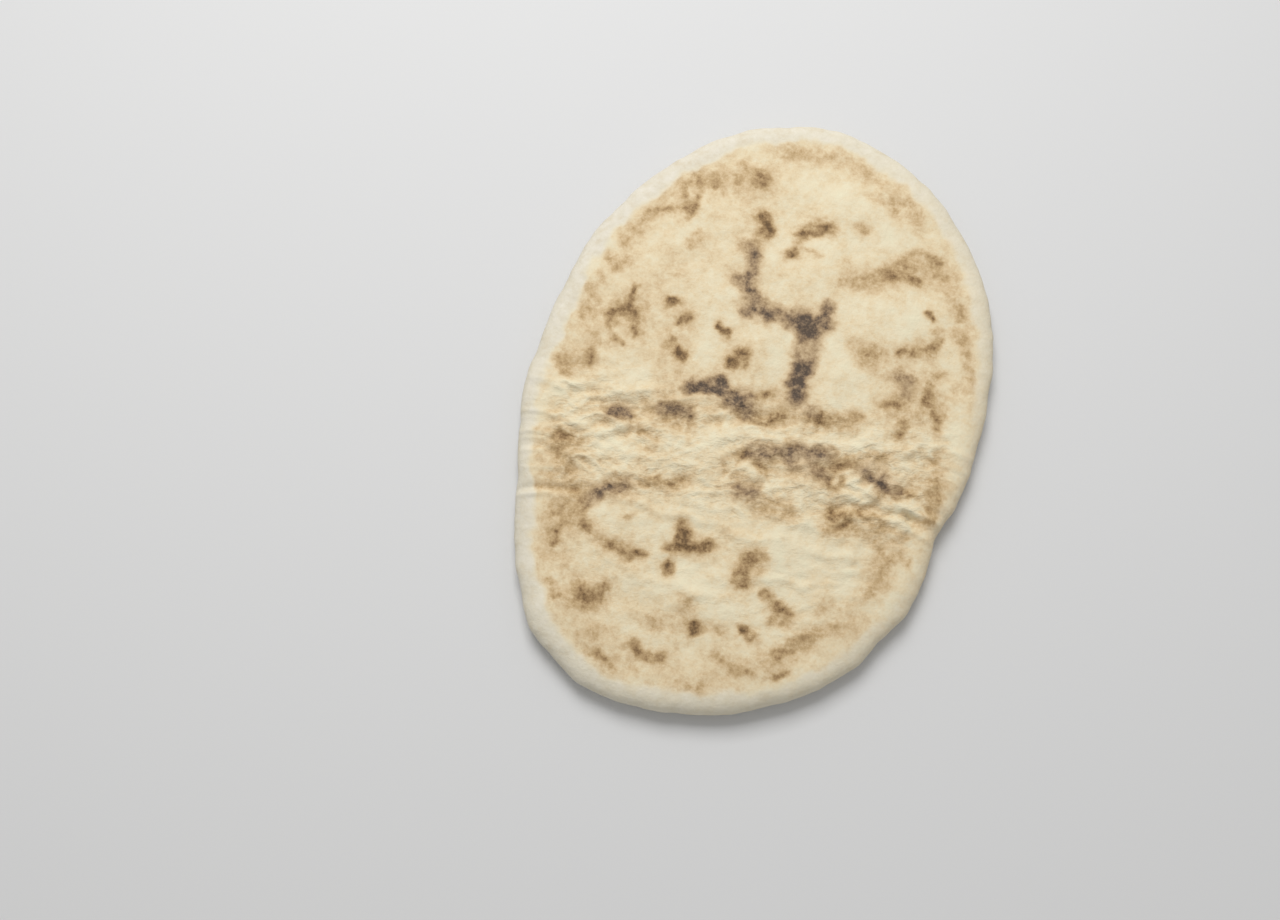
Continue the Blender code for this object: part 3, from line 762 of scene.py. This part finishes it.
def face_toast(x, y, from_edge):
    """Depth of colour of the face, blush and marks together, with painted shade in the hollows and
    creases and a painted highlight on the wrinkle crests, and how much of it is char.
    """
    folded = crumpled(x, y)
    height, crest_highlights = wrinkles(x, y)
    # painted highlight: the crests of the wrinkles are made paler
    highlighted_crests = folded * crest_highlights
    # painted shade: the hollows of the wrinkles, and the creases more so, are made darker
    shaded_hollows = folded * shares(-height) + CREASE_PAINTED_SHADE * shares(-crease_height(x, y))
    near_rim = bell(from_edge - RIM_BLUSH_PLACE, RIM_BLUSH_REACH)
    blush = BLUSH + RIM_BLUSH * near_rim * (RIM_BLUSH_EVENNESS + field(x, y, RIM_BLUSH_CLOUDS))
    blush = blush + field(x, y, BLUSH_CLOUDS)
    blush = blush + FOLD_BLUSH * folded + HOLLOW_PAINTED_SHADE * shaded_hollows - CREST_PAINTED_HIGHLIGHT * highlighted_crests
    marks, char = toast_marks(x, y, highlighted_crests)
    return shares(blush) * (1.0 - marks) + marks, char


def untoasted_edge(x, y, from_edge):
    """How pale the edge is, partly its own colour and partly painted light by side, how far a place is
    inside it, and the painted shade line that borders it.
    """
    direction = np.degrees(np.arctan2(y, x))
    border = np.interp(direction, EDGE_DIRECTIONS, EDGE_WIDTHS) + field(x, y, EDGE_WAVER)
    # partly painted light: paler on the lit left and top, tanner on the shaded right
    paleness_with_painted_light = np.interp(direction, EDGE_DIRECTIONS, EDGE_PALENESS_WITH_PAINTED_LIGHT)
    # painted shade: a thin dark line just inside the border, where the edge meets the face, stronger
    # where the edge is paler
    shade_line = bell(from_edge - border - SHADE_LINE_PLACE, SHADE_LINE_REACH)
    shade_line = SHADE_LINE_DEPTH * paleness_with_painted_light * shade_line * shares(SHADE_LINE_EVENNESS + field(x, y, SHADE_LINE_BREAKS))
    return paleness_with_painted_light, soft_step(from_edge - border, EDGE_SOFTNESS), shade_line


def underside_toast(x, y):
    """Depth of colour of the underside: soft clouds and a few browner patches."""
    patches = UNDERSIDE_PATCH_DEPTH * shares(field(x, y, UNDERSIDE_PATCHES) - UNDERSIDE_PATCH_START)
    toast = UNDERSIDE_TOAST + field(x, y, UNDERSIDE_CLOUDS) + patches
    return np.clip(toast, UNDERSIDE_PALEST, UNDERSIDE_DARKEST)


def set_attribute(mesh, name, values):
    """Stores a value for each vertex under this name."""
    layer = mesh.attributes.new(name, "FLOAT", "POINT")
    layer.data.foreach_set("value", np.asarray(values, np.float32))


def colour_crust(mesh, x, y, from_edge, is_under):
    """Stores on the mesh what the crust's material is painted by."""
    toast, char = face_toast(x, y, from_edge)
    paleness_with_painted_light, inside, shade_line = untoasted_edge(x, y, from_edge)
    # the painted shade line darkens the face just inside the border
    toast = toast + shade_line * (1.0 - toast)
    # the edge is paler on its lit left and top and tanner on its shaded right: partly its own colour,
    # partly painted light and shade
    toast = toast * inside + EDGE_TOAST_AND_PAINTED_SHADE * (1.0 - paleness_with_painted_light) * (1.0 - inside)
    skin = SKIN_FOLDS_EVERYWHERE + (1.0 - SKIN_FOLDS_EVERYWHERE) * crumpled(x, y) * inside
    set_attribute(mesh, "toast", np.where(is_under, underside_toast(x, y), toast))
    set_attribute(mesh, "char", np.where(is_under, 0.0, char * inside))
    set_attribute(mesh, "pale_edge_with_painted_light", np.where(is_under, 0.0, paleness_with_painted_light * (1.0 - inside)))
    set_attribute(mesh, "crumpled", np.where(is_under, 0.0, skin))


def add_bread():
    bread = add_blank()
    colour_crust(bread.data, *shape_blank(bread.data))
    bread.data.shade_smooth()
    bread.data.materials.clear()
    bread.data.materials.append(crust_material())
    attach(bread, "root")
    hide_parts("pita_bread")
    return bread


# ---------------------------------------------------------------- crust

def srgb(red, green, blue):
    """Linear colour of a shade given in screen values from 0 to 255."""
    linear = []
    for value in (red, green, blue):
        share = value / 255.0
        linear.append(share / 12.92 if share <= 0.04045 else ((share + 0.055) / 1.055) ** 2.4)
    return (*linear, 1.0)


# Shades by depth of colour: dough to toast, the same where it is charred, and the untoasted edge
CRUST_SHADES = (
    (0.00, srgb(226, 219, 191)),
    (0.12, srgb(224, 213, 184)),
    (0.25, srgb(220, 203, 169)),
    (0.40, srgb(207, 184, 147)),
    (0.55, srgb(188, 162, 121)),
    (0.70, srgb(165, 137, 98)),
    (0.85, srgb(136, 108, 72)),
    (1.00, srgb(101, 78, 50)),
)
CHAR_SHADES = (
    (0.00, srgb(226, 217, 190)),
    (0.40, srgb(204, 183, 151)),
    (0.70, srgb(160, 137, 108)),
    (0.85, srgb(125, 105, 84)),
    (1.00, srgb(82, 69, 58)),
)
EDGE_SHADES = (
    (0.30, srgb(209, 199, 178)),
    (0.50, srgb(216, 210, 194)),
    (0.72, srgb(223, 218, 206)),
)
CRUST_ROUGHNESS = 0.72
CRUST_SHINE = 0.35

# Noises of the crust: size, detail, roughness
GRAIN = (0.7 * MM, 3.0, 0.65)
MOTTLE = (2.4 * MM, 2.0, 0.6)
EDGE_CLOUDS = (3.2 * MM, 4.0, 0.7)
PORES = (1.1 * MM, 4.0, 0.6)
SKIN_BEND = (2.6 * MM, 2.0, 0.5)
SKIN_NOISE = (1.0, 2.0, 0.5)  # in places that the folds' own sizes have scaled already
GRAIN_STRENGTH = 1.25
SPECKLE_EVERYWHERE, SPECKLE_ON_TOAST = 0.15, 0.44

# Dabs of colour on the half-toasted parts
DAB_SIZE = 1.6 * MM
DAB_SOFTNESS, DAB_EDGE, DAB_STRENGTH = 0.6, 0.42, 0.55
UNDABBED_TOAST = 1.25  # the depth of colour that takes no dabs

# Fine folds of the skin: size along, across and through, and how far the bends push them
FOLD_SIZES = (3.6 * MM, 1.5 * MM, 3.0 * MM)
FOLD_BEND = 2.0 * MM
FOLD_LEVEL, FOLD_SHARPNESS = 0.4, 5.0
# How much painted shade the fine folds put in their valleys and painted highlight on their crests, and
# how far they rise
FOLD_PAINTED_SHADE, FOLD_RISE = 0.10, 0.75
BUMP_HEIGHT, BUMP_STRENGTH = 0.32 * MM, 0.6


def noise(tree, place, settings, output="Fac"):
    """Noise over a place, by its size, detail and roughness."""
    size, detail, roughness = settings
    node = tree.nodes.new("ShaderNodeTexNoise")
    node.inputs["Scale"].default_value = 1.0 / size
    node.inputs["Detail"].default_value = detail
    node.inputs["Roughness"].default_value = roughness
    tree.links.new(place, node.inputs["Vector"])
    return node.outputs[output]


def calculated(tree, operation, a, b=0.0, clamp=False):
    """Result of one sum, where a and b are numbers or other results."""
    node = tree.nodes.new("ShaderNodeMath")
    node.operation = operation
    node.use_clamp = clamp
    for socket, value in zip(node.inputs, (a, b)):
        if isinstance(value, (int, float)):
            socket.default_value = value
        else:
            tree.links.new(value, socket)
    return node.outputs[0]


def attribute(tree, name):
    """What the mesh stores under this name."""
    node = tree.nodes.new("ShaderNodeAttribute")
    node.attribute_name = name
    return node.outputs["Fac"]


def shaded(tree, level, stops):
    """Colour of a level between 0 and 1, by a row of shades."""
    node = tree.nodes.new("ShaderNodeValToRGB")
    ends = node.color_ramp.elements
    ends[0].position, ends[0].color = stops[0]
    ends[1].position, ends[1].color = stops[-1]
    for position, colour in stops[1:-1]:
        ends.new(position).color = colour
    tree.links.new(level, node.inputs["Fac"])
    return node.outputs["Color"]


def mixed(tree, share, colour, other):
    """The colour, with this share of the other one."""
    node = tree.nodes.new("ShaderNodeMix")
    node.data_type = "RGBA"
    tree.links.new(share, node.inputs["Factor"])
    tree.links.new(colour, node.inputs[6])
    tree.links.new(other, node.inputs[7])
    return node.outputs[2]


def bent_place(tree, place):
    """The place, pushed about a little, so that what follows it isn't straight."""
    node = tree.nodes.new("ShaderNodeVectorMath")
    node.operation = "MULTIPLY_ADD"
    node.inputs[1].default_value = (FOLD_BEND, FOLD_BEND, FOLD_BEND)
    tree.links.new(noise(tree, place, SKIN_BEND, "Color"), node.inputs[0])
    tree.links.new(place, node.inputs[2])
    return node.outputs["Vector"]


def skin_folds(tree, bent):
    """Height of the fine folds, about 0 on average, where the skin is crumpled."""
    node = tree.nodes.new("ShaderNodeMapping")
    node.vector_type = "TEXTURE"
    node.inputs["Rotation"].default_value = (0.0, 0.0, WRINKLE_TURN)
    node.inputs["Scale"].default_value = FOLD_SIZES
    tree.links.new(bent, node.inputs["Vector"])
    centred = calculated(tree, "SUBTRACT", noise(tree, node.outputs["Vector"], SKIN_NOISE), 0.5)
    valleys = calculated(tree, "MULTIPLY", calculated(tree, "ABSOLUTE", centred), FOLD_SHARPNESS)
    height = calculated(tree, "SUBTRACT", FOLD_LEVEL, valleys)
    return calculated(tree, "MULTIPLY", height, attribute(tree, "crumpled"))


def dabs(tree, bent, toast):
    """Small dabs of colour, strongest where the crust is half toasted."""
    node = tree.nodes.new("ShaderNodeTexVoronoi")
    node.feature = "SMOOTH_F1"
    node.inputs["Scale"].default_value = 1.0 / DAB_SIZE
    node.inputs["Smoothness"].default_value = DAB_SOFTNESS
    tree.links.new(bent, node.inputs["Vector"])
    dab = calculated(tree, "SUBTRACT", DAB_EDGE, node.outputs["Distance"])
    to_go = calculated(tree, "SUBTRACT", UNDABBED_TOAST, toast)
    half_toasted = calculated(tree, "MULTIPLY", toast, to_go)
    return calculated(tree, "MULTIPLY", calculated(tree, "MULTIPLY", dab, half_toasted), DAB_STRENGTH)


def speckled_toast(tree, place, bent, folds):
    """Depth of colour with its grain, mottling and dabs, and painted shade in the valleys of the fine
    folds with a painted highlight on their crests.
    """
    toast = attribute(tree, "toast")
    on_toast = calculated(tree, "MULTIPLY", toast, SPECKLE_ON_TOAST)
    amount = calculated(tree, "ADD", on_toast, SPECKLE_EVERYWHERE)
    level = toast
    for settings, strength in ((GRAIN, GRAIN_STRENGTH), (MOTTLE, 1.0)):
        centred = calculated(tree, "SUBTRACT", noise(tree, place, settings), 0.5)
        speckle = calculated(tree, "MULTIPLY", centred, strength)
        level = calculated(tree, "ADD", level, calculated(tree, "MULTIPLY", speckle, amount))
    # painted shade in the fold valleys, painted highlight on the fold crests
    level = calculated(tree, "SUBTRACT", level, calculated(tree, "MULTIPLY", folds, FOLD_PAINTED_SHADE))
    return calculated(tree, "ADD", level, dabs(tree, bent, toast), clamp=True)


def crust_material():
    material = bpy.data.materials.new("toasted_crust")
    material.use_nodes = True
    tree = material.node_tree
    shader = tree.nodes["Principled BSDF"]
    place = tree.nodes.new("ShaderNodeTexCoord").outputs["Object"]
    bent = bent_place(tree, place)
    folds = skin_folds(tree, bent)

    level = speckled_toast(tree, place, bent, folds)
    toasted, charred = shaded(tree, level, CRUST_SHADES), shaded(tree, level, CHAR_SHADES)
    crust = mixed(tree, attribute(tree, "char"), toasted, charred)
    edge = shaded(tree, noise(tree, place, EDGE_CLOUDS), EDGE_SHADES)
    # the pale edge, its paleness partly painted light
    colour = mixed(tree, attribute(tree, "pale_edge_with_painted_light"), crust, edge)
    tree.links.new(colour, shader.inputs["Base Color"])

    bump = tree.nodes.new("ShaderNodeBump")
    bump.inputs["Distance"].default_value = BUMP_HEIGHT
    bump.inputs["Strength"].default_value = BUMP_STRENGTH
    raised = calculated(tree, "MULTIPLY", folds, FOLD_RISE)
    height = calculated(tree, "ADD", noise(tree, place, PORES), raised)
    tree.links.new(height, bump.inputs["Height"])
    tree.links.new(bump.outputs["Normal"], shader.inputs["Normal"])
    shader.inputs["Roughness"].default_value = CRUST_ROUGHNESS
    shader.inputs["Specular IOR Level"].default_value = CRUST_SHINE
    return material


add_camera()
add_light()
add_room()
add_floor()
add_bread()
